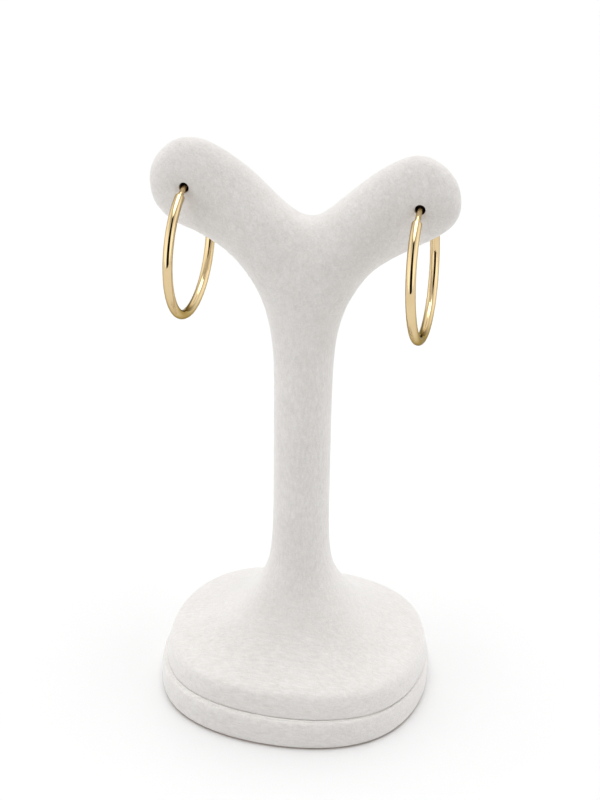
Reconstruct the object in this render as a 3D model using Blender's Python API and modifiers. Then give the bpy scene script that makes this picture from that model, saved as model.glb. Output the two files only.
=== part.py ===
# A pair of endless hoop earrings hung on a wrapped display stand.
# The stand is a Y of two flattened arms on a round column and a flared foot, with a plate under it.
# Metres, +Z up, the arms along X, the front of the stand towards -Y.

import math
from collections import namedtuple

import bmesh
import bpy
from mathutils import Matrix, Vector

MM = 0.001

# Gap that keeps neighbouring pieces apart, and the sides of round things
GAP = 0.3 * MM
RING_STEPS = 48
TUBE_BEVEL_STEPS = 4
WIRE_BEVEL_STEPS = 3
BORE_SIDES = 20

# Hoops: tube and ring as sold, 30 mm across a 2 mm tube
HOOP_OD = 30.0 * MM
TUBE_OD = 2.0 * MM
TUBE_WALL = 0.22 * MM
WIRE_D = 1.1 * MM
WIRE_IN_BORE = 2.2 * MM
SOLDER_PLUG = 1.2 * MM
END_CLEARANCE = 1.5 * MM

# Foot: lower plate, then the flared plate that is one form with the column
BASE_HALF_X = 29.9 * MM
BASE_HALF_Y = 28.0 * MM
BASE_HEIGHT = 6.6 * MM
FOOT_HALF_X = 28.4 * MM
FOOT_HALF_Y = 25.5 * MM
FOOT_X = 0.4 * MM
FOOT_Y = -0.5 * MM
FLARE_RISE = 17.0 * MM
OUTLINE_POWER = 2.35

# Column and the place where it spreads into the arms
COLUMN_X = 0.68 * MM
COLUMN_RADIUS = 6.05 * MM
COLUMN_TOP = 80.2 * MM
FORK_RISE = 30.2 * MM
FORK_HALF_X = 10.7 * MM
FORK_HALF_Y = 6.2 * MM

# Arms: a curved centre line from the column's axis to the hole, and the arm's half sizes there
ARM_REACH = 22.75 * MM
ARM_RISE = 20.2 * MM
ARM_START_DROP = 15.0 * MM
ARM_HALF_WIDTH = 9.1 * MM
ARM_HALF_THICK = 3.95 * MM
ARM_TIP = 10.2 * MM

# A closed cage of eight-sided rings stands outside its smooth skin by this share
SIDES = 8
SKIN_SHARE = (4.0 + 2.0 * math.cos(2.0 * math.pi / SIDES)) / 6.0
SKIN_LEVELS = 2

# Foot rings: reach as a share of the foot's half sizes, rise as a share of FLARE_RISE
FootRing = namedtuple("FootRing", "reach rise")
FOOT_RINGS = [
    FootRing(0.95, 0.000),
    FootRing(1.02, 0.000),
    FootRing(1.02, 0.050),
    FootRing(1.01, 0.170),
    FootRing(0.99, 0.310),
    FootRing(0.90, 0.355),
    FootRing(0.76, 0.420),
    FootRing(0.61, 0.545),
    FootRing(0.475, 0.720),
    FootRing(0.358, 0.930),
    FootRing(0.283, 1.170),
]

# Plate rings: reach as a share of the base's half sizes, rise as a share of its height
PLATE_RINGS = [
    FootRing(0.95, 0.000),
    FootRing(0.99, 0.000),
    FootRing(1.00, 0.035),
    FootRing(1.00, 0.250),
    FootRing(1.00, 0.800),
    FootRing(0.985, 0.980),
    FootRing(0.93, 1.000),
]

# Column rings: radius as a share of the column's, height as a share of COLUMN_TOP
ColumnRing = namedtuple("ColumnRing", "radius height")
COLUMN_RINGS = [
    ColumnRing(1.12, 0.380),
    ColumnRing(1.02, 0.450),
    ColumnRing(0.99, 0.56),
    ColumnRing(1.00, 0.80),
    ColumnRing(1.00, 1.00),
]

# Arm courses: where each centre line starts, bends and ends, as shares of the arm's reach and rise
ArmCourse = namedtuple("ArmCourse", "side way start_drop bend_reach bend_rise end_reach end_rise")
ARM_COURSES = [
    ArmCourse("left", -1, 1.03, 0.478, 0.800, 1.041, 1.010),
    ArmCourse("right", 1, 0.97, 0.410, 0.607, 0.974, 0.994),
]

# Arm rings: place along the centre line, then half widths and half thickness as shares of the arm's
ArmRing = namedtuple("ArmRing", "along left right thick")
ARM_RINGS = [
    ArmRing(0.42, 0.83, 0.81, 1.57),
    ArmRing(0.62, 0.93, 0.86, 1.34),
    ArmRing(0.82, 1.00, 0.92, 1.11),
    ArmRing(1.00, 1.06, 0.95, 1.00),
    ArmRing(1.18, 0.91, 0.87, 0.91),
    ArmRing(1.30, 0.62, 0.60, 0.63),
]

# Hoops as they hang: hole as shares of the arm's reach and rise, lean and yaw of the ring, and its
# turn about its own middle
Hang = namedtuple("Hang", "side hole_reach hole_rise lean_deg yaw_deg turn_deg")
HANGS = [
    Hang("left", 1.0519, 0.9965, 0.6, 1.7, -2.1),
    Hang("right", 1.0220, 0.9431, -2.8, 0.7, 1.7),
]


def clear_scene():
    """Remove whatever the file opened with."""
    for obj in list(bpy.data.objects):
        bpy.data.objects.remove(obj, do_unlink=True)


def make_collection(name):
    """Link a new collection into the scene."""
    collection = bpy.data.collections.new(name)
    bpy.context.scene.collection.children.link(collection)
    return collection


def make_material(name, colour, roughness, metallic):
    """A plain Principled material."""
    material = bpy.data.materials.new(name)
    material.use_nodes = True
    shader = material.node_tree.nodes["Principled BSDF"]
    shader.inputs["Base Color"].default_value = (*colour, 1.0)
    shader.inputs["Roughness"].default_value = roughness
    shader.inputs["Metallic"].default_value = metallic
    return material


def place_object(name, mesh, collection):
    """Put a mesh into the scene as a named object, shaded smooth."""
    for polygon in mesh.polygons:
        polygon.use_smooth = True
    obj = bpy.data.objects.new(name, mesh)
    collection.objects.link(obj)
    return obj


class Cage:
    """Vertices and faces of a coarse closed form that a subdivision skin rounds off."""

    def __init__(self):
        self.points = []
        self.faces = []

    def add(self, points):
        start = len(self.points)
        self.points.extend(points)
        return list(range(start, start + len(points)))

    def bridge(self, lower, upper, flip=False):
        """Join two rings of the same count with quads."""
        count = len(lower)
        for k in range(count):
            n = (k + 1) % count
            quad = (lower[k], lower[n], upper[n], upper[k])
            self.faces.append(quad[::-1] if flip else quad)

    def cap(self, ring, facing_up):
        """Close a flat ring with one face."""
        self.faces.append(tuple(ring) if facing_up else tuple(reversed(ring)))

    def to_object(self, name, collection, levels):
        mesh = bpy.data.meshes.new(name)
        mesh.from_pydata(self.points, [], self.faces)
        mesh.validate()
        obj = place_object(name, mesh, collection)
        skin = obj.modifiers.new("Skin", "SUBSURF")
        skin.levels = levels
        skin.render_levels = levels
        return obj


def ring_angles():
    return [2.0 * math.pi * k / SIDES for k in range(SIDES)]


def rounded_ring(centre, half_x, half_y, z, power=2.0, lift=0.0):
    """A level ring of cage points whose skin has the half sizes asked for."""
    # Cage points that put the skin's sides and its 45 degree corners on the outline
    corner = (12.0 * 2.0 ** (-1.0 / power) - 3.0) / 7.0
    side = (3.0 - corner) / 2.0
    points = []
    for x, y in ((side, 0), (corner, corner), (0, side), (-corner, corner),
                 (-side, 0), (-corner, -corner), (0, -side), (corner, -corner)):
        points.append((centre[0] + half_x * x, centre[1] + half_y * y, z + lift * abs(y) / side))
    return points


def arm_start(course):
    """Height at which an arm's centre line leaves the column's axis."""
    return COLUMN_TOP + FORK_RISE - ARM_START_DROP * course.start_drop


def hole_place(hang):
    """Middle of a wire hole, in the arm that it goes through."""
    course = next(row for row in ARM_COURSES if row.side == hang.side)
    x = COLUMN_X + course.way * ARM_REACH * hang.hole_reach
    return Vector((x, 0.0, arm_start(course) + ARM_RISE * hang.hole_rise))


def arm_rings(course):
    """Cage rings along one arm, from the fork to near the tip, and the tip point."""
    start_z = arm_start(course)
    start = Vector((0.0, start_z))
    bend = Vector((ARM_REACH * course.bend_reach, start_z + ARM_RISE * course.bend_rise))
    end = Vector((ARM_REACH * course.end_reach, start_z + ARM_RISE * course.end_rise))
    onward = (end - bend).normalized()
    rings = []
    for row in ARM_RINGS:
        t = row.along
        if t > 1.0:
            centre = end + onward * (t - 1.0) * 2.3 * ARM_TIP
            heading = onward
        else:
            centre = start * (1 - t) ** 2 + bend * 2 * t * (1 - t) + end * t * t
            heading = ((bend - start) * (1 - t) + (end - bend) * t).normalized()
        under = Vector((heading.y, -heading.x))
        share = row.left if course.way < 0 else row.right
        width = ARM_HALF_WIDTH * share / SKIN_SHARE
        thick = ARM_HALF_THICK * row.thick / SKIN_SHARE
        points = []
        for angle in ring_angles():
            flat = centre + under * width * math.cos(angle)
            x = COLUMN_X + course.way * flat.x
            points.append((x, thick * math.sin(angle), flat.y))
        rings.append(points)
    tip = end + onward * ARM_TIP
    return rings, (COLUMN_X + course.way * tip.x, 0.0, tip.y)


def build_stand_tree(collection):
    """Foot, column, fork and both arms as one wrapped form."""
    cage = Cage()
    foot_z = BASE_HEIGHT + GAP
    column = (COLUMN_X, 0.0)
    previous = None
    for row in FOOT_RINGS:
        # The rings lose the foot's oval and move to the column's axis as they close in
        oval = min(1.0, max(0.0, (row.reach - 0.25) / 0.75))
        half_y = FOOT_HALF_Y * oval + FOOT_HALF_X * (1.0 - oval)
        settled = min(1.0, 1.5 * oval)
        centre_x = COLUMN_X + (FOOT_X - COLUMN_X) * settled
        ring = cage.add(rounded_ring(
            (centre_x, FOOT_Y * settled), FOOT_HALF_X * row.reach, half_y * row.reach,
            foot_z + FLARE_RISE * row.rise, OUTLINE_POWER))
        if previous is None:
            cage.cap(ring, facing_up=False)
        else:
            cage.bridge(previous, ring)
        previous = ring
    for row in COLUMN_RINGS:
        radius = COLUMN_RADIUS * row.radius
        ring = cage.add(rounded_ring(column, radius, radius, COLUMN_TOP * row.height))
        cage.bridge(previous, ring)
        previous = ring
    # The column widens, then its last ring is shared out between the two arms
    widening = cage.add(rounded_ring(
        column, 0.705 * FORK_HALF_X, 0.96 * FORK_HALF_Y, COLUMN_TOP + 0.305 * FORK_RISE))
    cage.bridge(previous, widening)
    fork = cage.add(rounded_ring(
        column, FORK_HALF_X, FORK_HALF_Y, COLUMN_TOP + 0.50 * FORK_RISE, lift=0.052 * FORK_RISE))
    cage.bridge(widening, fork)
    saddle_z = COLUMN_TOP + 0.99 * FORK_RISE
    saddle_y = 0.55 * FORK_HALF_Y
    saddle_dip = 0.19 * FORK_HALF_Y
    top, back, front = cage.add([
        (COLUMN_X, 0.0, saddle_z),
        (COLUMN_X, saddle_y, saddle_z - saddle_dip),
        (COLUMN_X, -saddle_y, saddle_z - saddle_dip),
    ])
    for course in ARM_COURSES:
        outer = [0, 1] if course.way > 0 else [4, 3]
        inner = [6, 7] if course.way > 0 else [6, 5]
        previous = [fork[outer[0]], fork[outer[1]], fork[2], back, top, front]
        previous += [fork[inner[0]], fork[inner[1]]]
        flip = course.way < 0
        rings, tip = arm_rings(course)
        for points in rings:
            ring = cage.add(points)
            cage.bridge(previous, ring, flip)
            previous = ring
        tip_point = cage.add([tip])[0]
        for k in range(0, SIDES, 2):
            quad = (previous[k], previous[k + 1], previous[(k + 2) % SIDES], tip_point)
            cage.faces.append(quad[::-1] if flip else quad)
    return cage.to_object("stand_tree", collection, SKIN_LEVELS)


def build_base_plate(collection):
    """The lower plate, a wrapped oval slab with a flat underside."""
    cage = Cage()
    previous = None
    for row in PLATE_RINGS:
        ring = cage.add(rounded_ring(
            (0.0, 0.0), BASE_HALF_X * row.reach, BASE_HALF_Y * row.reach,
            BASE_HEIGHT * row.rise, OUTLINE_POWER))
        if previous is None:
            cage.cap(ring, facing_up=False)
        else:
            cage.bridge(previous, ring)
        previous = ring
    cage.cap(previous, facing_up=True)
    return cage.to_object("base_plate", collection, SKIN_LEVELS)


def hang_matrix(hang):
    """Place of a hoop's ring: its own plane is YZ, its middle at the origin, its top at +Z."""
    ring_radius = (HOOP_OD - TUBE_OD) / 2.0
    drop = ring_radius - wire_sagitta() / 2.0
    lean = math.radians(hang.lean_deg)
    yaw = Matrix.Rotation(-math.radians(hang.yaw_deg), 4, "Z")
    tilt = Matrix.Rotation(lean, 4, "Y")
    hole = Matrix.Translation(hole_place(hang))
    return hole @ yaw @ tilt @ Matrix.Translation((0.0, 0.0, -drop))


def wire_sagitta():
    """How far the curved wire drops between the arm's middle and its faces."""
    ring_radius = (HOOP_OD - TUBE_OD) / 2.0
    return ring_radius - math.sqrt(ring_radius ** 2 - ARM_HALF_THICK ** 2)


def arc_points(from_angle, to_angle, steps):
    """Points on the ring's centre line, angles measured from the top towards the back."""
    ring_radius = (HOOP_OD - TUBE_OD) / 2.0
    points = []
    for k in range(steps + 1):
        angle = from_angle + (to_angle - from_angle) * k / steps
        points.append((0.0, ring_radius * math.sin(angle), ring_radius * math.cos(angle)))
    return points


def bent_rod(name, points, radius, bevel, matrix, collection):
    """A round rod along the points, made into a closed mesh."""
    curve = bpy.data.curves.new(name + "_path", "CURVE")
    curve.dimensions = "3D"
    curve.bevel_depth = radius
    curve.bevel_resolution = bevel
    curve.use_fill_caps = True
    spline = curve.splines.new("POLY")
    spline.points.add(len(points) - 1)
    for point, place in zip(spline.points, points):
        point.co = (*place, 1.0)
    holder = bpy.data.objects.new(name + "_path", curve)
    collection.objects.link(holder)
    bpy.context.view_layer.update()
    evaluated = holder.evaluated_get(bpy.context.evaluated_depsgraph_get())
    mesh = bpy.data.meshes.new_from_object(evaluated)
    bpy.data.objects.remove(holder, do_unlink=True)
    weld_caps(mesh)
    mesh.transform(matrix)
    return place_object(name, mesh, collection)


def weld_caps(mesh):
    """Join the cap vertices of a bevelled curve to its sides."""
    bm = bmesh.new()
    bm.from_mesh(mesh)
    bmesh.ops.remove_doubles(bm, verts=bm.verts, dist=0.01 * MM)
    bmesh.ops.recalc_face_normals(bm, faces=bm.faces)
    bm.to_mesh(mesh)
    bm.free()


def add_boolean(target, other, operation):
    """Cut or join another solid."""
    step = target.modifiers.new(other.name, "BOOLEAN")
    step.operation = operation
    step.solver = "EXACT"
    step.object = other


def hide_tool(obj):
    obj.hide_render = True
    obj.display_type = "WIRE"


def build_hoop(hang, collection, tools):
    """One soldered solid: an open tube ring, with the ear wire from its back end to its front bore."""
    matrix = hang_matrix(hang)
    ring_radius = (HOOP_OD - TUBE_OD) / 2.0
    half_opening = math.asin(
        (ARM_HALF_THICK + TUBE_OD / 2.0 + END_CLEARANCE) / ring_radius)
    turn = math.radians(hang.turn_deg)
    back = half_opening - turn
    front = 2.0 * math.pi - half_opening - turn
    name = hang.side + "_hoop"
    hoop = bent_rod(name, arc_points(back, front, RING_STEPS), TUBE_OD / 2.0,
                    TUBE_BEVEL_STEPS, matrix, collection)
    # The bore stops short of the back end, where solder fills the tube, and runs out of the front
    plug = SOLDER_PLUG / ring_radius
    bore = bent_rod(name + "_bore", arc_points(back + plug, front + plug, RING_STEPS),
                    TUBE_OD / 2.0 - TUBE_WALL, TUBE_BEVEL_STEPS, matrix, tools)
    hide_tool(bore)
    add_boolean(hoop, bore, "DIFFERENCE")
    into_bore = WIRE_IN_BORE / ring_radius
    wire = bent_rod(name + "_wire",
                    arc_points(front - 2.0 * math.pi - into_bore, back + 0.6 * plug, 14),
                    WIRE_D / 2.0, WIRE_BEVEL_STEPS, matrix, tools)
    hide_tool(wire)
    add_boolean(hoop, wire, "UNION")
    return hoop


def cut_wire_hole(stand, hang, tools):
    """A straight hole front to back that takes the curved wire with a gap all round."""
    radius = WIRE_D / 2.0 + wire_sagitta() / 2.0 + GAP
    bpy.ops.mesh.primitive_cylinder_add(
        vertices=BORE_SIDES, radius=radius, depth=6.0 * ARM_HALF_THICK,
        location=hole_place(hang),
        rotation=(math.radians(90.0), 0.0, -math.radians(hang.yaw_deg)))
    cutter = bpy.context.active_object
    cutter.name = hang.side + "_hole_cutter"
    for collection in list(cutter.users_collection):
        collection.objects.unlink(cutter)
    tools.objects.link(cutter)
    hide_tool(cutter)
    add_boolean(stand, cutter, "DIFFERENCE")


def main():
    clear_scene()
    parts = make_collection("hoop_earrings_on_stand")
    tools = make_collection("cutters")
    leatherette = make_material("leatherette", (0.84, 0.84, 0.82), 0.55, 0.0)
    gold = make_material("gold", (0.95, 0.76, 0.38), 0.18, 1.0)

    stand = build_stand_tree(parts)
    plate = build_base_plate(parts)
    for piece in (stand, plate):
        piece.data.materials.append(leatherette)
    for hang in HANGS:
        cut_wire_hole(stand, hang, tools)
        hoop = build_hoop(hang, parts, tools)
        hoop.data.materials.append(gold)


main()
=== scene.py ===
import math
from collections import namedtuple

import bpy
from mathutils import Matrix, Vector, noise


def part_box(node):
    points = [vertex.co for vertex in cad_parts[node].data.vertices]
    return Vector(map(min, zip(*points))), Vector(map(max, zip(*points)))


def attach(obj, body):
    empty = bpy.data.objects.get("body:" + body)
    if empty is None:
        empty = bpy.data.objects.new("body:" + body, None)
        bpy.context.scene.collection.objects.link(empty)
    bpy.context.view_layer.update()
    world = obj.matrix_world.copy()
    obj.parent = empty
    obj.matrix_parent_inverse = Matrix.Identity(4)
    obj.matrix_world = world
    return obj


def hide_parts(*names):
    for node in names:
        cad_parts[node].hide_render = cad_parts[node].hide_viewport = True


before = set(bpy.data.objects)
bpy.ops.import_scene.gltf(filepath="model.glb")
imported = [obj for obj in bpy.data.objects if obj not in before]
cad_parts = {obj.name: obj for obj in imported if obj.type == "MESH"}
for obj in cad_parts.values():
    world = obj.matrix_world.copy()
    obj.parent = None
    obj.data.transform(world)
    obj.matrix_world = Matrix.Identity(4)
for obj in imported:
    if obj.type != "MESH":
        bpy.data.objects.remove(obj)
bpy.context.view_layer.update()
MM = 0.001


# Leatherette: the fine off-white wrapping of the stand
# A thin embossed sheet, glued over the whole stand. Its pebbled grain is under a millimetre, with
# faint stretched wrinkles, a soft matt coat and slight unevenness in its colour; painted shade darkens
# the hollows of its grain and creases.

GRAIN_CELL = 0.45 * MM
GRAIN_HEIGHT = 0.030 * MM
WRINKLE_LENGTH = 2.6 * MM
WRINKLE_SQUEEZE = 1.8
CREASE_WIDTH = 0.48 * MM
FOOT_PULL_TOP = 15.0 * MM
COLUMN_PULL_START = 32.0 * MM
COLUMN_PULL_TOP = 78.0 * MM
ARM_PULL_START = 96.0 * MM
CLOUD_LENGTH = 14.0 * MM
LEATHERETTE_PALE = (0.868, 0.845, 0.824, 1.0)
LEATHERETTE_DEEP = (0.568, 0.540, 0.515, 1.0)
# Painted contact shade: a thin warm brown band along the bottom edge, where the plate meets the paper
CONTACT_SHADE = (0.360, 0.205, 0.105, 1.0)
CONTACT_SHADE_HEIGHT = 0.50 * MM


class Socket:
    """A shader value that takes part in Python sums: each operation adds a Math node."""

    def __init__(self, finish, link):
        self.finish = finish
        self.link = link

    def __add__(self, other):
        return self.finish.math("ADD", self, other)

    def __radd__(self, other):
        return self.finish.math("ADD", other, self)

    def __sub__(self, other):
        return self.finish.math("SUBTRACT", self, other)

    def __rsub__(self, other):
        return self.finish.math("SUBTRACT", other, self)

    def __mul__(self, other):
        return self.finish.math("MULTIPLY", self, other)

    def __rmul__(self, other):
        return self.finish.math("MULTIPLY", other, self)

    def __truediv__(self, other):
        return self.finish.math("DIVIDE", self, other)


class Shading:
    """A shader node tree under construction."""

    def __init__(self, tree):
        self.tree = tree

    def node(self, kind, settings=None, output=0, **sockets):
        """Add a node: its settings first, then values or links for its sockets, by name or number."""
        made = self.tree.nodes.new("ShaderNode" + kind)
        settings = dict(settings or {})
        stops = settings.pop("stops", None)
        for setting, value in settings.items():
            setattr(made, setting, value)
        if stops:
            ramp = made.color_ramp.elements
            while len(ramp) < len(stops):
                ramp.new(0.5)
            for element, (place, colour) in zip(ramp, stops):
                element.position = place
                element.color = colour
        for key, value in sockets.items():
            wanted = int(key[1:]) if key[0] == "i" and key[1:].isdigit() else key.replace("_", " ")
            if isinstance(value, Socket):
                self.tree.links.new(value.link, made.inputs[wanted])
            else:
                made.inputs[wanted].default_value = value
        return Socket(self, made.outputs[output])

    def math(self, operation, first, second):
        return self.node("Math", {"operation": operation}, i0=first, i1=second)

    def ease(self, value, start, end):
        """0 at start, 1 at end, smooth between."""
        return self.node("MapRange", {"interpolation_type": "SMOOTHSTEP"}, Value=value,
                         From_Min=start, From_Max=end)


class Finish(Shading):
    """A material under construction: constants are set on its Principled shader at once."""

    def __init__(self, name, **constants):
        self.material = bpy.data.materials.new(name)
        self.material.use_nodes = True
        super().__init__(self.material.node_tree)
        self.shader = self.tree.nodes["Principled BSDF"]
        for socket_name, value in constants.items():
            self.shader.inputs[socket_name.replace("_", " ")].default_value = value

    def drive(self, socket_name, value):
        self.tree.links.new(value.link, self.shader.inputs[socket_name])


def leatherette_finish(name, squeeze, contact_shade_height=0.0):
    """The wrapping. squeeze shortens the wrinkles upwards; a band of the given height along the bottom
    gets a brown painted contact shade.
    """
    finish = Finish(name, IOR=1.45, Sheen_Weight=0.60, Sheen_Roughness=0.55)
    place = finish.node("TexCoord", output="Object")
    uneven = finish.node("Mapping", Vector=place, Scale=(1.0, 1.0, squeeze))
    cells = finish.node("TexVoronoi", {"feature": "SMOOTH_F1"}, output="Distance",
                        Vector=place, Scale=1.0 / GRAIN_CELL, Smoothness=0.5, Randomness=1.0)
    fine = finish.node("TexNoise", output="Fac", Vector=place, Scale=1.6 / GRAIN_CELL,
                       Detail=2.0, Roughness=0.55)
    wrinkles = finish.node("TexNoise", output="Fac", Vector=uneven, Scale=1.0 / WRINKLE_LENGTH,
                           Detail=4.0, Roughness=0.62, Distortion=0.9)
    # The sheet is pulled sideways over the foot, up the column and out along the arms, and its
    # creases run with the pull
    across, upward, outward = (
        finish.node("TexNoise", output="Fac", Scale=1.0 / CREASE_WIDTH, Detail=2.0, Roughness=0.6,
                    Distortion=crossing,
                    Vector=finish.node("Mapping", Vector=place, Scale=stretch,
                                       Rotation=(0.0, math.radians(lean), 0.0)))
        for stretch, lean, crossing in (((0.22, 1.0, 1.0), 0.0, 0.0), ((1.0, 1.0, 0.30), 0.0, 0.0),
                                        ((0.55, 0.9, 0.42), 24.0, 1.1)))
    height_up = finish.node("SeparateXYZ", output="Z", Vector=place)
    pulled_up = finish.ease(height_up, FOOT_PULL_TOP, COLUMN_PULL_START)
    pulled_out = finish.ease(height_up, COLUMN_PULL_TOP, ARM_PULL_START)
    creases = (across * (1.0 - pulled_up) + upward * (pulled_up - pulled_out)
               + outward * pulled_out)
    clouds = finish.node("TexNoise", output="Fac", Vector=place, Scale=1.0 / CLOUD_LENGTH,
                         Detail=2.0)
    pebbles = finish.ease(cells, 0.75, 0.15)
    # Painted shade: grain, wrinkles and creases are darker where the bump sinks; only the clouds are
    # uneven colour of the sheet itself.
    tone_and_painted_shade = finish.node("ValToRGB", {"stops": [(0.22, LEATHERETTE_DEEP), (0.78, LEATHERETTE_PALE)]},
                       Fac=clouds * 0.14 + wrinkles * 0.20 + creases * 0.38 + pebbles * 0.03
                       + fine * 0.25)
    # Painted contact shade along the bottom edge
    if contact_shade_height:
        tone_and_painted_shade = finish.node("Mix", {"data_type": "RGBA"}, output=2,
                           i0=finish.ease(height_up, contact_shade_height, 0.5 * contact_shade_height), i6=tone_and_painted_shade, i7=CONTACT_SHADE)
    finish.drive("Base Color", tone_and_painted_shade)
    finish.drive("Roughness", 0.62 + 0.20 * fine - 0.06 * cells)
    height = 0.16 * pebbles + 0.28 * wrinkles + 0.36 * creases + 0.20 * fine
    bump = finish.node("Bump", output="Normal", Strength=1.0, Distance=GRAIN_HEIGHT * 5.0,
                       Height=height)
    finish.drive("Normal", bump)
    return finish.material


# Stand tree: two arms, column and flared foot
# One rigid moulded core wrapped in leatherette: a Y of two flattened arms on a round column that
# flares into an oval foot. A wire hole is punched front to back near the end of each arm.

COLUMN_X = 0.68 * MM
COLUMN_RADIUS = 6.05 * MM
COLUMN_TOP = 80.2 * MM
FORK_RISE = 30.2 * MM
FORK_HALF_X = 10.7 * MM
FORK_HALF_Y = 6.2 * MM
FOOT_HALF_X = 28.4 * MM
FOOT_HALF_Y = 25.5 * MM
FOOT_X = 0.4 * MM
FOOT_Y = -0.5 * MM
FLARE_RISE = 17.0 * MM
OUTLINE_POWER = 2.35
ROUND_REACH = 0.25
SETTLE_RATE = 1.5
ARM_REACH = 22.75 * MM
ARM_RISE = 20.2 * MM
ARM_START_DROP = 15.0 * MM
ARM_HALF_WIDTH = 9.1 * MM
ARM_HALF_THICK = 3.95 * MM
ARM_TIP = 10.2 * MM
TIP_STRETCH = 2.3

SIDES = 8
SKIN_SHARE = (4.0 + 2.0 * math.cos(2.0 * math.pi / SIDES)) / 6.0
SKIN_LEVELS = 4
UNEVEN = 0.05 * MM
UNEVEN_LENGTH = 7.0 * MM
FLAT_MARGIN = 0.5 * MM

FootRing = namedtuple("FootRing", "reach rise")
FOOT_RINGS = [
    FootRing(0.95, 0.000),
    FootRing(1.018, 0.000),
    FootRing(1.02, 0.010),
    FootRing(1.02, 0.050),
    FootRing(1.01, 0.170),
    FootRing(0.99, 0.310),
    FootRing(0.90, 0.355),
    FootRing(0.76, 0.420),
    FootRing(0.61, 0.545),
    FootRing(0.475, 0.720),
    FootRing(0.358, 0.930),
    FootRing(0.283, 1.170),
]

ColumnRing = namedtuple("ColumnRing", "radius height")
COLUMN_RINGS = [
    ColumnRing(1.12, 0.380),
    ColumnRing(1.02, 0.450),
    ColumnRing(0.99, 0.56),
    ColumnRing(1.00, 0.80),
    ColumnRing(1.00, 1.00),
]

ForkRing = namedtuple("ForkRing", "half_x half_y rise lift")
FORK_RINGS = [
    ForkRing(0.705, 0.96, 0.305, 0.000),
    ForkRing(1.000, 1.00, 0.500, 0.052),
]
SADDLE_RISE, SADDLE_SPREAD, SADDLE_DIP = 0.99, 0.55, 0.19

ArmCourse = namedtuple("ArmCourse", "side way start_drop bend_reach bend_rise end_reach end_rise")
ARM_COURSES = [
    ArmCourse("left", -1, 1.03, 0.478, 0.800, 1.041, 1.010),
    ArmCourse("right", 1, 0.97, 0.410, 0.607, 0.974, 0.994),
]

ArmRing = namedtuple("ArmRing", "along left right thick")
ARM_RINGS = [
    ArmRing(0.42, 0.83, 0.81, 1.57),
    ArmRing(0.62, 0.93, 0.86, 1.34),
    ArmRing(0.82, 1.00, 0.92, 1.11),
    ArmRing(1.00, 1.06, 0.95, 1.00),
    ArmRing(1.18, 0.91, 0.87, 0.91),
    ArmRing(1.30, 0.62, 0.60, 0.63),
]

Hang = namedtuple("Hang", "side hole_x hole_z lean_deg yaw_deg turn_deg")
HANGS = [
    Hang("left", -23.25 * MM, 115.08 * MM, 0.6, 1.7, -2.1),
    Hang("right", 23.93 * MM, 114.90 * MM, -2.8, 0.7, 1.7),
]
HOLE_RADIUS = 1.06 * MM
DIMPLE_DEPTH = 0.35 * MM
DIMPLE_SPREAD = 0.75 * MM
MOUTH_FROM, MOUTH_FULL = 0.62, 0.84
HOLE_SIDES = 40
WALL_MARGIN, WALL_NORMAL_Y = 1.02, 0.35
# Painted shade inside the wire holes: dark midway through the arm, paler towards both mouths
HOLE_SHADE_DARK = (0.060, 0.042, 0.028, 1.0)
HOLE_MOUTH_PALE = (0.620, 0.560, 0.480, 1.0)
HOLE_FIBRE_LENGTH = 0.4 * MM
SEAM_ANGLE = 55.0


class Cage:
    """Points and faces of a coarse closed form that subdivision rounds off."""

    def __init__(self):
        self.points = []
        self.faces = []

    def add(self, points):
        start = len(self.points)
        self.points.extend(points)
        return list(range(start, start + len(points)))

    def bridge(self, lower, upper, flip=False):
        for k in range(len(lower)):
            n = (k + 1) % len(lower)
            quad = (lower[k], lower[n], upper[n], upper[k])
            self.faces.append(quad[::-1] if flip else quad)

    def cap(self, ring, facing_up):
        self.faces.append(tuple(ring) if facing_up else tuple(reversed(ring)))

    def to_piece(self, name, levels):
        """A finished mesh of the rounded form."""
        mesh = bpy.data.meshes.new(name)
        mesh.from_pydata(self.points, [], self.faces)
        piece = bpy.data.objects.new(name, mesh)
        bpy.context.scene.collection.objects.link(piece)
        skin = piece.modifiers.new("Skin", "SUBSURF")
        skin.levels = levels
        skin.render_levels = levels
        bake_modifiers(piece)
        return piece


def bake_modifiers(piece):
    """Turn what the piece's modifiers make into its own plain mesh."""
    bpy.context.view_layer.update()
    evaluated = piece.evaluated_get(bpy.context.evaluated_depsgraph_get())
    mesh = bpy.data.meshes.new_from_object(evaluated)
    piece.modifiers.clear()
    old = piece.data
    piece.data = mesh
    bpy.data.meshes.remove(old)


def rounded_ring(centre, half_x, half_y, z, power=2.0, lift=0.0):
    """A level ring of cage points whose skin has the half sizes asked for."""
    # Cage points that put the skin's sides and its 45 degree corners on the outline
    corner = (12.0 * 2.0 ** (-1.0 / power) - 3.0) / 7.0
    side = (3.0 - corner) / 2.0
    points = []
    for x, y in ((side, 0), (corner, corner), (0, side), (-corner, corner),
                 (-side, 0), (-corner, -corner), (0, -side), (corner, -corner)):
        points.append((centre[0] + half_x * x, centre[1] + half_y * y, z + lift * abs(y) / side))
    return points


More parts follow.
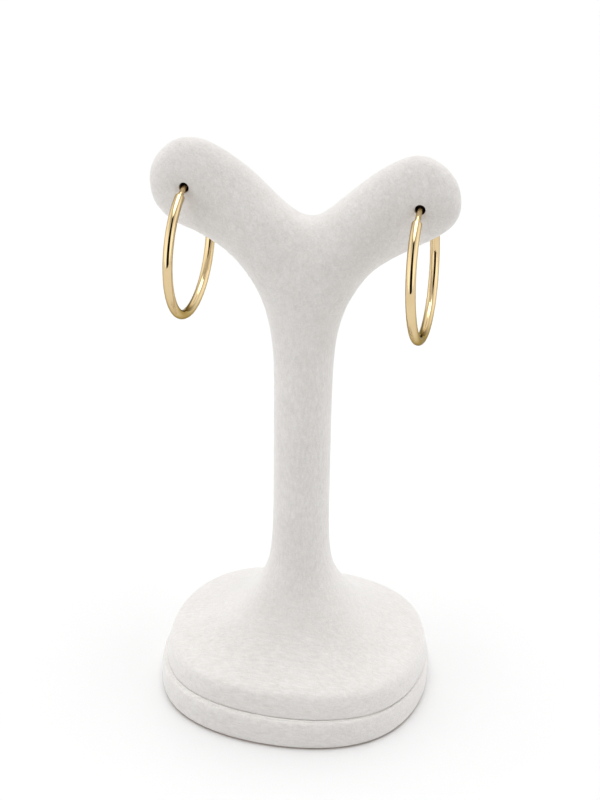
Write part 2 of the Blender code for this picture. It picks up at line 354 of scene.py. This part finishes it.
def arm_rings(course):
    """Cage rings along one arm, from the fork to near the tip, and the tip point."""
    start_z = COLUMN_TOP + FORK_RISE - ARM_START_DROP * course.start_drop
    start = Vector((0.0, start_z))
    bend = Vector((ARM_REACH * course.bend_reach, start_z + ARM_RISE * course.bend_rise))
    end = Vector((ARM_REACH * course.end_reach, start_z + ARM_RISE * course.end_rise))
    onward = (end - bend).normalized()
    rings = []
    for row in ARM_RINGS:
        t = row.along
        if t > 1.0:
            centre = end + onward * (t - 1.0) * TIP_STRETCH * ARM_TIP
            heading = onward
        else:
            centre = start * (1 - t) ** 2 + bend * 2 * t * (1 - t) + end * t * t
            heading = ((bend - start) * (1 - t) + (end - bend) * t).normalized()
        under = Vector((heading.y, -heading.x))
        share = row.left if course.way < 0 else row.right
        width = ARM_HALF_WIDTH * share / SKIN_SHARE
        thick = ARM_HALF_THICK * row.thick / SKIN_SHARE
        points = []
        for k in range(SIDES):
            angle = 2.0 * math.pi * k / SIDES
            flat = centre + under * width * math.cos(angle)
            points.append((COLUMN_X + course.way * flat.x, thick * math.sin(angle), flat.y))
        rings.append(points)
    tip = end + onward * ARM_TIP
    return rings, (COLUMN_X + course.way * tip.x, 0.0, tip.y)


def stand_cage():
    """Foot, column, fork and both arms as one cage."""
    cage = Cage()
    foot_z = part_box("stand_tree")[0].z
    column = (COLUMN_X, 0.0)
    previous = None
    for row in FOOT_RINGS:
        oval = min(1.0, max(0.0, (row.reach - ROUND_REACH) / (1.0 - ROUND_REACH)))
        half_y = FOOT_HALF_Y * oval + FOOT_HALF_X * (1.0 - oval)
        settled = min(1.0, SETTLE_RATE * oval)
        centre_x = COLUMN_X + (FOOT_X - COLUMN_X) * settled
        ring = cage.add(rounded_ring(
            (centre_x, FOOT_Y * settled), FOOT_HALF_X * row.reach, half_y * row.reach,
            foot_z + FLARE_RISE * row.rise, OUTLINE_POWER))
        if previous is None:
            cage.cap(ring, facing_up=False)
        else:
            cage.bridge(previous, ring)
        previous = ring
    for row in COLUMN_RINGS:
        radius = COLUMN_RADIUS * row.radius
        ring = cage.add(rounded_ring(column, radius, radius, COLUMN_TOP * row.height))
        cage.bridge(previous, ring)
        previous = ring
    for row in FORK_RINGS:
        fork = cage.add(rounded_ring(
            column, FORK_HALF_X * row.half_x, FORK_HALF_Y * row.half_y,
            COLUMN_TOP + FORK_RISE * row.rise, lift=FORK_RISE * row.lift))
        cage.bridge(previous, fork)
        previous = fork
    saddle_z = COLUMN_TOP + SADDLE_RISE * FORK_RISE
    saddle_y = SADDLE_SPREAD * FORK_HALF_Y
    saddle_dip = SADDLE_DIP * FORK_HALF_Y
    top, back, front = cage.add([
        (COLUMN_X, 0.0, saddle_z),
        (COLUMN_X, saddle_y, saddle_z - saddle_dip),
        (COLUMN_X, -saddle_y, saddle_z - saddle_dip),
    ])
    for course in ARM_COURSES:
        outer = [0, 1] if course.way > 0 else [4, 3]
        inner = [6, 7] if course.way > 0 else [6, 5]
        previous = [fork[outer[0]], fork[outer[1]], fork[2], back, top, front]
        previous += [fork[inner[0]], fork[inner[1]]]
        flip = course.way < 0
        rings, tip = arm_rings(course)
        for points in rings:
            ring = cage.add(points)
            cage.bridge(previous, ring, flip)
            previous = ring
        tip_point = cage.add([tip])[0]
        for k in range(0, SIDES, 2):
            quad = (previous[k], previous[k + 1], previous[(k + 2) % SIDES], tip_point)
            cage.faces.append(quad[::-1] if flip else quad)
    return cage


def uneven_skin(piece, amount, length, floor_z):
    """Move the skin in and out a little, as glued sheet lies over a core; flat undersides stay flat."""
    vertices = piece.data.vertices
    normals = [vertex.normal.copy() for vertex in vertices]
    places = []
    for vertex, normal in zip(vertices, normals):
        raised = vertex.co.z > floor_z + FLAT_MARGIN
        swell = noise.noise(vertex.co / length) * amount if raised else 0.0
        places.extend(vertex.co + normal * swell)
    vertices.foreach_set("co", places)


def press_dimple(piece, hang):
    """Draw the wrapping in round a wire hole, on both faces of the arm."""
    for vertex in piece.data.vertices:
        x, y, z = vertex.co
        reach = math.hypot(x - hang.hole_x, z - hang.hole_z)
        if reach < 4.0 * DIMPLE_SPREAD + HOLE_RADIUS and abs(y) > FLAT_MARGIN:
            past_rim = max(0.0, reach - HOLE_RADIUS)
            sink = DIMPLE_DEPTH * math.exp(-(past_rim / DIMPLE_SPREAD) ** 2)
            vertex.co.y -= math.copysign(sink, y)


def punch_hole(piece, hang):
    """Cut the round wire hole straight through the arm."""
    bpy.ops.mesh.primitive_cylinder_add(
        vertices=HOLE_SIDES, radius=HOLE_RADIUS, depth=6.0 * ARM_HALF_THICK,
        location=(hang.hole_x, 0.0, hang.hole_z),
        rotation=(math.radians(90.0), 0.0, -math.radians(hang.yaw_deg)))
    punch = bpy.context.active_object
    cut = piece.modifiers.new("Hole", "BOOLEAN")
    cut.operation = "DIFFERENCE"
    cut.solver = "MANIFOLD"
    cut.object = punch
    bake_modifiers(piece)
    bpy.data.objects.remove(punch, do_unlink=True)


def shade_hole_walls(piece, slot_index):
    """Give the walls of the wire holes the material of painted hole shade."""
    for polygon in piece.data.polygons:
        for hang in HANGS:
            reach = math.hypot(polygon.center.x - hang.hole_x, polygon.center.z - hang.hole_z)
            if reach < HOLE_RADIUS * WALL_MARGIN and abs(polygon.normal.y) < WALL_NORMAL_Y:
                polygon.material_index = slot_index


leatherette = leatherette_finish("leatherette_wrap", WRINKLE_SQUEEZE)

# Painted shade of the wire holes, darkest midway through and fading out at the mouths, with a fine fibre
# noise
hole_shade = Finish("painted_hole_shade", Roughness=0.9, IOR=1.4)
hole_place = hole_shade.node("TexCoord", output="Object")
hole_fibre = hole_shade.node("TexNoise", output="Fac", Vector=hole_place, Scale=1.0 / HOLE_FIBRE_LENGTH, Detail=3.0)
hole_depth = hole_shade.math("ABSOLUTE", hole_shade.node("SeparateXYZ", output="Y", Vector=hole_place), 0.0)
hole_mouth_fade = hole_shade.ease(hole_depth, ARM_HALF_THICK * MOUTH_FROM, ARM_HALF_THICK * MOUTH_FULL)
hole_shade.drive("Base Color", hole_shade.node(
    "ValToRGB", {"stops": [(0.10, HOLE_SHADE_DARK), (0.90, HOLE_MOUTH_PALE)]},
    Fac=0.15 * hole_fibre + 0.85 * hole_mouth_fade))

stand_skin = stand_cage().to_piece("stand_skin", SKIN_LEVELS)
uneven_skin(stand_skin, UNEVEN, UNEVEN_LENGTH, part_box("stand_tree")[0].z)
for hang in HANGS:
    press_dimple(stand_skin, hang)
for hang in HANGS:
    punch_hole(stand_skin, hang)
stand_skin.data.materials.clear()
stand_skin.data.materials.append(leatherette)
stand_skin.data.materials.append(hole_shade.material)
shade_hole_walls(stand_skin, 1)
stand_skin.data.shade_smooth()
stand_skin.data.set_sharp_from_angle(angle=math.radians(SEAM_ANGLE))
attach(stand_skin, "root")
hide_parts("stand_tree")


# Base plate: the lower foot plate
# A second wrapped board under the flared foot, a little larger all round, with rounded edges. A low
# step inside its top edge fills most of the joint, and a brown painted contact shade runs along its
# bottom edge.

BASE_HALF_X = 29.9 * MM
BASE_HALF_Y = 28.0 * MM
PLATE_RINGS = [
    FootRing(0.93, 0.000),
    FootRing(0.965, 0.000),
    FootRing(0.978, 0.010),
    FootRing(1.00, 0.120),
    FootRing(1.00, 0.250),
    FootRing(1.00, 0.800),
    FootRing(0.985, 0.980),
    FootRing(0.970, 1.000),
    FootRing(0.965, 1.000),
    FootRing(0.960, 1.043),
    FootRing(0.940, 1.045),
]

plate_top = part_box("base_plate")[1].z
plate_cage = Cage()
lower_ring = None
for row in PLATE_RINGS:
    ring = plate_cage.add(rounded_ring(
        (0.0, 0.0), BASE_HALF_X * row.reach, BASE_HALF_Y * row.reach, plate_top * row.rise,
        OUTLINE_POWER))
    if lower_ring is None:
        plate_cage.cap(ring, facing_up=False)
    else:
        plate_cage.bridge(lower_ring, ring)
    lower_ring = ring
plate_cage.cap(lower_ring, facing_up=True)
base_skin = plate_cage.to_piece("base_skin", SKIN_LEVELS)
leatherette_base = leatherette_finish("leatherette_base", WRINKLE_SQUEEZE, contact_shade_height=CONTACT_SHADE_HEIGHT)
base_skin.data.materials.append(leatherette_base)
base_skin.data.shade_smooth()
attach(base_skin, "root")
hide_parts("base_plate")


# Hoops: an endless tube hoop each side
# Thin gold tube drawn, bent to a ring and polished. The ear wire is soldered into the tube's back
# end and springs into its open front end, so that hoop and wire close in one round line.

HOOP_OD = 30.0 * MM
TUBE_OD = 2.0 * MM
TUBE_WALL = 0.22 * MM
WIRE_D = 1.1 * MM
WIRE_IN_BORE = 2.2 * MM
SOLDER_PLUG = 1.2 * MM
END_CLEARANCE = 1.5 * MM
SHOULDER_ROUND = 0.30 * MM
HOOP_SIDES = 24
BORE_STEPS, TUBE_STEPS, WIRE_STEPS = 120, 160, 60
LIP_STEPS, SHOULDER_STEPS, POINT_STEPS = 8, 6, 5
LIP_SEAM_ANGLE = 50.0
MERGE_REACH = 0.002 * MM
DRIFT_LENGTH = 6.0 * MM
POLISH_LENGTH = 0.25 * MM
POLISH_HEIGHT = 0.004 * MM
RING_RADIUS = (HOOP_OD - TUBE_OD) / 2.0
WIRE_SAGITTA = RING_RADIUS - math.sqrt(RING_RADIUS ** 2 - ARM_HALF_THICK ** 2)
GOLD = (0.755, 0.590, 0.345, 1.0)
GOLD_DEEP = (0.715, 0.545, 0.305, 1.0)
GOLD_EDGE = (0.36, 0.31, 0.19, 1.0)


def bent_section_tree():
    """Geometry Nodes that turn a half section, run along X and radius along Y, round a bent ring."""
    tree = bpy.data.node_groups.new("bent_section", "GeometryNodeTree")
    interface = tree.interface
    interface.new_socket("Section", in_out="INPUT", socket_type="NodeSocketGeometry")
    for name, kind in (("Ring Radius", "Float"), ("Sides", "Int"), ("Material", "Material")):
        interface.new_socket(name, in_out="INPUT", socket_type="NodeSocket" + kind)
    interface.new_socket("Ring", in_out="OUTPUT", socket_type="NodeSocketGeometry")

    def node(kind, settings=None, **sockets):
        made = tree.nodes.new(kind)
        for setting, value in (settings or {}).items():
            setattr(made, setting, value)
        for key, value in sockets.items():
            wanted = int(key[1:]) if key[0] == "i" and key[1:].isdigit() else key.replace("_", " ")
            if isinstance(value, bpy.types.NodeSocket):
                tree.links.new(value, made.inputs[wanted])
            else:
                made.inputs[wanted].default_value = value
        return made

    def math_node(operation, first, second=0.0):
        return node("ShaderNodeMath", {"operation": operation}, i0=first, i1=second).outputs[0]

    given = node("NodeGroupInput").outputs
    section, ring_radius, sides, finish = given[0], given[1], given[2], given[3]
    rows = node("GeometryNodeAttributeDomainSize", Geometry=section).outputs["Point Count"]
    columns = math_node("ADD", sides, 1.0)
    grid = node("GeometryNodeMeshGrid", Vertices_X=rows, Vertices_Y=columns).outputs["Mesh"]
    index = node("GeometryNodeInputIndex").outputs[0]
    row = math_node("FLOOR", math_node("DIVIDE", math_node("ADD", index, 0.5), columns))
    column = math_node("SUBTRACT", index, math_node("MULTIPLY", row, columns))
    sample = node("GeometryNodeSampleIndex", {"data_type": "FLOAT_VECTOR", "domain": "POINT"},
                  Geometry=section, Value=node("GeometryNodeInputPosition").outputs[0], Index=row)
    run, radius, _ = node("ShaderNodeSeparateXYZ", Vector=sample.outputs[0]).outputs
    along = math_node("DIVIDE", run, ring_radius)
    turn = math_node("MULTIPLY", math_node("DIVIDE", column, sides), 2.0 * math.pi)
    out = math_node("ADD", ring_radius, math_node("MULTIPLY", radius, math_node("COSINE", turn)))
    place = node("ShaderNodeCombineXYZ",
                 X=math_node("MULTIPLY", radius, math_node("SINE", turn)),
                 Y=math_node("MULTIPLY", out, math_node("SINE", along)),
                 Z=math_node("MULTIPLY", out, math_node("COSINE", along))).outputs[0]
    bent = node("GeometryNodeSetPosition", Geometry=grid, Position=place).outputs[0]
    closed = node("GeometryNodeMergeByDistance", Geometry=bent, Distance=MERGE_REACH).outputs[0]
    real = node("GeometryNodeRealizeInstances", Geometry=closed).outputs[0]
    dressed = node("GeometryNodeSetMaterial", Geometry=real, Material=finish).outputs[0]
    node("NodeGroupOutput", Ring=dressed)
    return tree


def hoop_section(front, back):
    """Half section of the soldered hoop: bore, rounded lip, tube, shoulder, wire and wire tip."""
    tube, bore, wire = TUBE_OD / 2.0, TUBE_OD / 2.0 - TUBE_WALL, WIRE_D / 2.0
    tube_length = back - front
    plug = back - SOLDER_PLUG
    points = [(plug, 0.0), (plug, bore)]
    points += [(plug - (tube_length - SOLDER_PLUG) * k / BORE_STEPS, bore)
               for k in range(1, BORE_STEPS)]
    # The lip is a half circle in section between bore and tube
    middle, lip = (tube + bore) / 2.0, TUBE_WALL / 2.0
    for k in range(LIP_STEPS + 1):
        angle = math.pi * k / LIP_STEPS
        points.append((front + lip - lip * math.sin(angle), middle - lip * math.cos(angle)))
    points += [(front + lip + (tube_length - lip - SHOULDER_ROUND) * k / TUBE_STEPS, tube)
               for k in range(1, TUBE_STEPS + 1)]
    for k in range(1, SHOULDER_STEPS + 1):
        angle = 0.5 * math.pi * k / SHOULDER_STEPS
        points.append((back - SHOULDER_ROUND * (1 - math.sin(angle)),
                       wire + (tube - wire) * math.cos(angle)))
    opening = 2.0 * math.pi * RING_RADIUS - tube_length
    wire_end = back + opening + WIRE_IN_BORE
    points += [(back + (wire_end - wire - back) * k / WIRE_STEPS, wire)
               for k in range(1, WIRE_STEPS + 1)]
    for k in range(1, POINT_STEPS + 1):
        angle = 0.5 * math.pi * k / POINT_STEPS
        points.append((wire_end - wire * (1 - math.sin(angle)), wire * math.cos(angle)))
    return points


gold = Finish("polished_gold", Metallic=1.0, Specular_Tint=GOLD_EDGE)
gold_place = gold.node("TexCoord", output="Object")
gold_drift = gold.node("TexNoise", output="Fac", Vector=gold_place, Scale=1.0 / DRIFT_LENGTH, Detail=2.0)
gold_hair = gold.node("TexNoise", output="Fac", Scale=1.0 / POLISH_LENGTH, Detail=3.0,
                      Vector=gold.node("Mapping", Vector=gold_place, Scale=(1.0, 0.25, 0.25)))
gold.drive("Base Color", gold.node(
    "ValToRGB", {"stops": [(0.35, GOLD_DEEP), (0.65, GOLD)]}, Fac=gold_drift))
gold.drive("Roughness", 0.035 + 0.04 * gold_drift)
gold.drive("Normal", gold.node("Bump", output="Normal", Strength=0.25, Distance=POLISH_HEIGHT,
                               Height=gold_hair))

section_tree = bent_section_tree()
half_opening = math.asin((ARM_HALF_THICK + TUBE_OD / 2.0 + END_CLEARANCE) / RING_RADIUS)
for hang in HANGS:
    turn = math.radians(hang.turn_deg)
    # Runs are measured from the top round the back; the tube starts at the back and ends in front
    back_run = (half_opening - turn) * RING_RADIUS
    front_run = (2.0 * math.pi - half_opening - turn) * RING_RADIUS
    section = hoop_section(-front_run, -back_run)
    mesh = bpy.data.meshes.new(hang.side + "_hoop_gold")
    mesh.from_pydata([(-run, radius, 0.0) for run, radius in section],
                     [(k, k + 1) for k in range(len(section) - 1)], [])
    hoop = bpy.data.objects.new(hang.side + "_hoop_gold", mesh)
    bpy.context.scene.collection.objects.link(hoop)
    bend = hoop.modifiers.new("Bend", "NODES")
    bend.node_group = section_tree
    named = {"Ring Radius": RING_RADIUS, "Sides": HOOP_SIDES, "Material": gold.material}
    for item in section_tree.interface.items_tree:
        if item.in_out == "INPUT" and item.name in named:
            bend[item.identifier] = named[item.name]
    bake_modifiers(hoop)
    drop = RING_RADIUS - WIRE_SAGITTA / 2.0
    hoop.data.transform(
        Matrix.Translation((hang.hole_x, 0.0, hang.hole_z))
        @ Matrix.Rotation(-math.radians(hang.yaw_deg), 4, "Z")
        @ Matrix.Rotation(math.radians(hang.lean_deg), 4, "Y")
        @ Matrix.Translation((0.0, 0.0, -drop)))
    hoop.data.shade_smooth()
    hoop.data.set_sharp_from_angle(angle=math.radians(LIP_SEAM_ANGLE))
    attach(hoop, "root")
    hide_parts(hang.side + "_hoop")


# Table, soft light and camera
# A white paper sheet runs out of sight behind the stand and ends just under the camera. White walls
# and a bright ceiling light it from all round; the gap that the camera looks through stays dark.

VIEW_AZIMUTH = 12.64
VIEW_ELEVATION = 29.69
VIEW_ROLL = 0.90
VIEW_DISTANCE = 350.0 * MM
FOCAL_PX = 1627.75
AIM = Vector((0.44 * MM, 0.0, 50.0 * MM))
AIM_PX = (300.58, 480.32)
PICTURE = (600, 800)
SENSOR_HEIGHT = 36.0

PAPER_FRONT = -0.40
PAPER_REACH = 3.0
PAPER_WHITE = (0.81, 0.81, 0.81, 1.0)
paper_mesh = bpy.data.meshes.new("paper")
paper_mesh.from_pydata(
    [(-PAPER_REACH, PAPER_FRONT, 0.0), (PAPER_REACH, PAPER_FRONT, 0.0),
     (PAPER_REACH, PAPER_REACH, 0.0), (-PAPER_REACH, PAPER_REACH, 0.0)], [], [(0, 1, 2, 3)])
paper = bpy.data.objects.new("paper", paper_mesh)
bpy.context.scene.collection.objects.link(paper)
paper_finish = Finish("white_paper", Roughness=0.9, Base_Color=PAPER_WHITE)
paper.data.materials.append(paper_finish.material)

LOW_WALL = 0.35
SIDE_WALL = 0.95
SIDE_FROM, SIDE_FULL = 0.35, 0.95
FRONT_WALL = 0.86
FRONT_FROM, FRONT_FULL = 0.20, 0.95
OVERHEAD = 2.90
OVERHEAD_FROM, OVERHEAD_FULL = 0.86, 0.975
LAMP = 0.78
LAMP_ELEVATION = 55.0
LAMP_FROM, LAMP_FULL = 0.75, 0.93
GAP_HALF = 0.48
GAP_SHIFT = 0.10
GAP_TOP = 1.9
GAP_SOFT = 0.05
GAP_RADIANCE = 0.012
BACKDROP = 1.0


def direction(azimuth, elevation):
    """Unit vector from the object: azimuth 0 is the front, -Y, and 90 is +X."""
    az, el = math.radians(azimuth), math.radians(elevation)
    return Vector((math.sin(az) * math.cos(el), -math.cos(az) * math.cos(el), math.sin(el)))


world = bpy.data.worlds.new("white_studio")
bpy.context.scene.world = world
world.use_nodes = True
room = Shading(world.node_tree)
ray = room.node("TexCoord", output="Generated")
ahead = room.node("VectorMath", {"operation": "DOT_PRODUCT"}, output="Value",
                  i0=ray, i1=direction(VIEW_AZIMUTH, 0.0))
aside = room.node("VectorMath", {"operation": "DOT_PRODUCT"}, output="Value",
                  i0=ray, i1=direction(VIEW_AZIMUTH + 90.0, 0.0))
upward = room.node("VectorMath", {"operation": "DOT_PRODUCT"}, output="Value",
                   i0=ray, i1=(0.0, 0.0, 1.0))
toward_lamp = room.node("VectorMath", {"operation": "DOT_PRODUCT"}, output="Value",
                        i0=ray, i1=direction(VIEW_AZIMUTH + 180.0, LAMP_ELEVATION))
walls = (LOW_WALL
         + SIDE_WALL * room.ease(room.math("ABSOLUTE", aside, 0.0), SIDE_FROM, SIDE_FULL)
         + FRONT_WALL * room.ease(ahead, FRONT_FROM, FRONT_FULL)
         + OVERHEAD * room.ease(upward, OVERHEAD_FROM, OVERHEAD_FULL)
         + LAMP * room.ease(toward_lamp, LAMP_FROM, LAMP_FULL))
reach = room.math("MAXIMUM", ahead, 0.001)
across = room.math("ABSOLUTE", aside / reach - GAP_SHIFT, 0.0)
gap = (room.ease(across, GAP_HALF + GAP_SOFT, GAP_HALF)
       * room.ease(upward / reach, GAP_TOP + 4.0 * GAP_SOFT, GAP_TOP)
       * room.ease(ahead, 0.0, GAP_SOFT))
world.node_tree.nodes["Background"].inputs["Color"].default_value = (1.0, 1.0, 1.0, 1.0)
# Seen straight on, from any side, the room is plain white paper; only its light has the dark gap
seen = room.node("LightPath", output="Is Camera Ray")
lit = walls * (1.0 - gap) + GAP_RADIANCE
world.node_tree.links.new((lit * (1.0 - seen) + BACKDROP * seen).link,
                          world.node_tree.nodes["Background"].inputs["Strength"])

eye = AIM + direction(VIEW_AZIMUTH, VIEW_ELEVATION) * VIEW_DISTANCE
forward = -direction(VIEW_AZIMUTH, VIEW_ELEVATION)
right = forward.cross(Vector((0.0, 0.0, 1.0))).normalized()
up = right.cross(forward)
roll = math.radians(VIEW_ROLL)
right, up = right * math.cos(roll) + up * math.sin(roll), up * math.cos(roll) - right * math.sin(roll)
aim_ray = Vector(((AIM_PX[0] - PICTURE[0] / 2) / FOCAL_PX, (PICTURE[1] / 2 - AIM_PX[1]) / FOCAL_PX, 1.0))
aim_ray.normalize()
yaw = math.atan2(aim_ray.x, aim_ray.z)
pitch = math.asin(aim_ray.y)
forward, right = (forward * math.cos(yaw) - right * math.sin(yaw),
                  right * math.cos(yaw) + forward * math.sin(yaw))
forward, up = (forward * math.cos(pitch) - up * math.sin(pitch),
               up * math.cos(pitch) + forward * math.sin(pitch))
camera_data = bpy.data.cameras.new("camera")
camera_data.sensor_fit = "VERTICAL"
camera_data.sensor_height = SENSOR_HEIGHT
camera_data.lens = FOCAL_PX * SENSOR_HEIGHT / PICTURE[1]
camera_data.clip_start = 0.01
camera = bpy.data.objects.new("camera", camera_data)
bpy.context.scene.collection.objects.link(camera)
turned = Matrix((right, up, -forward)).transposed().to_4x4()
camera.matrix_world = Matrix.Translation(eye) @ turned
bpy.context.scene.camera = camera
bpy.context.scene.view_settings.view_transform = "Standard"
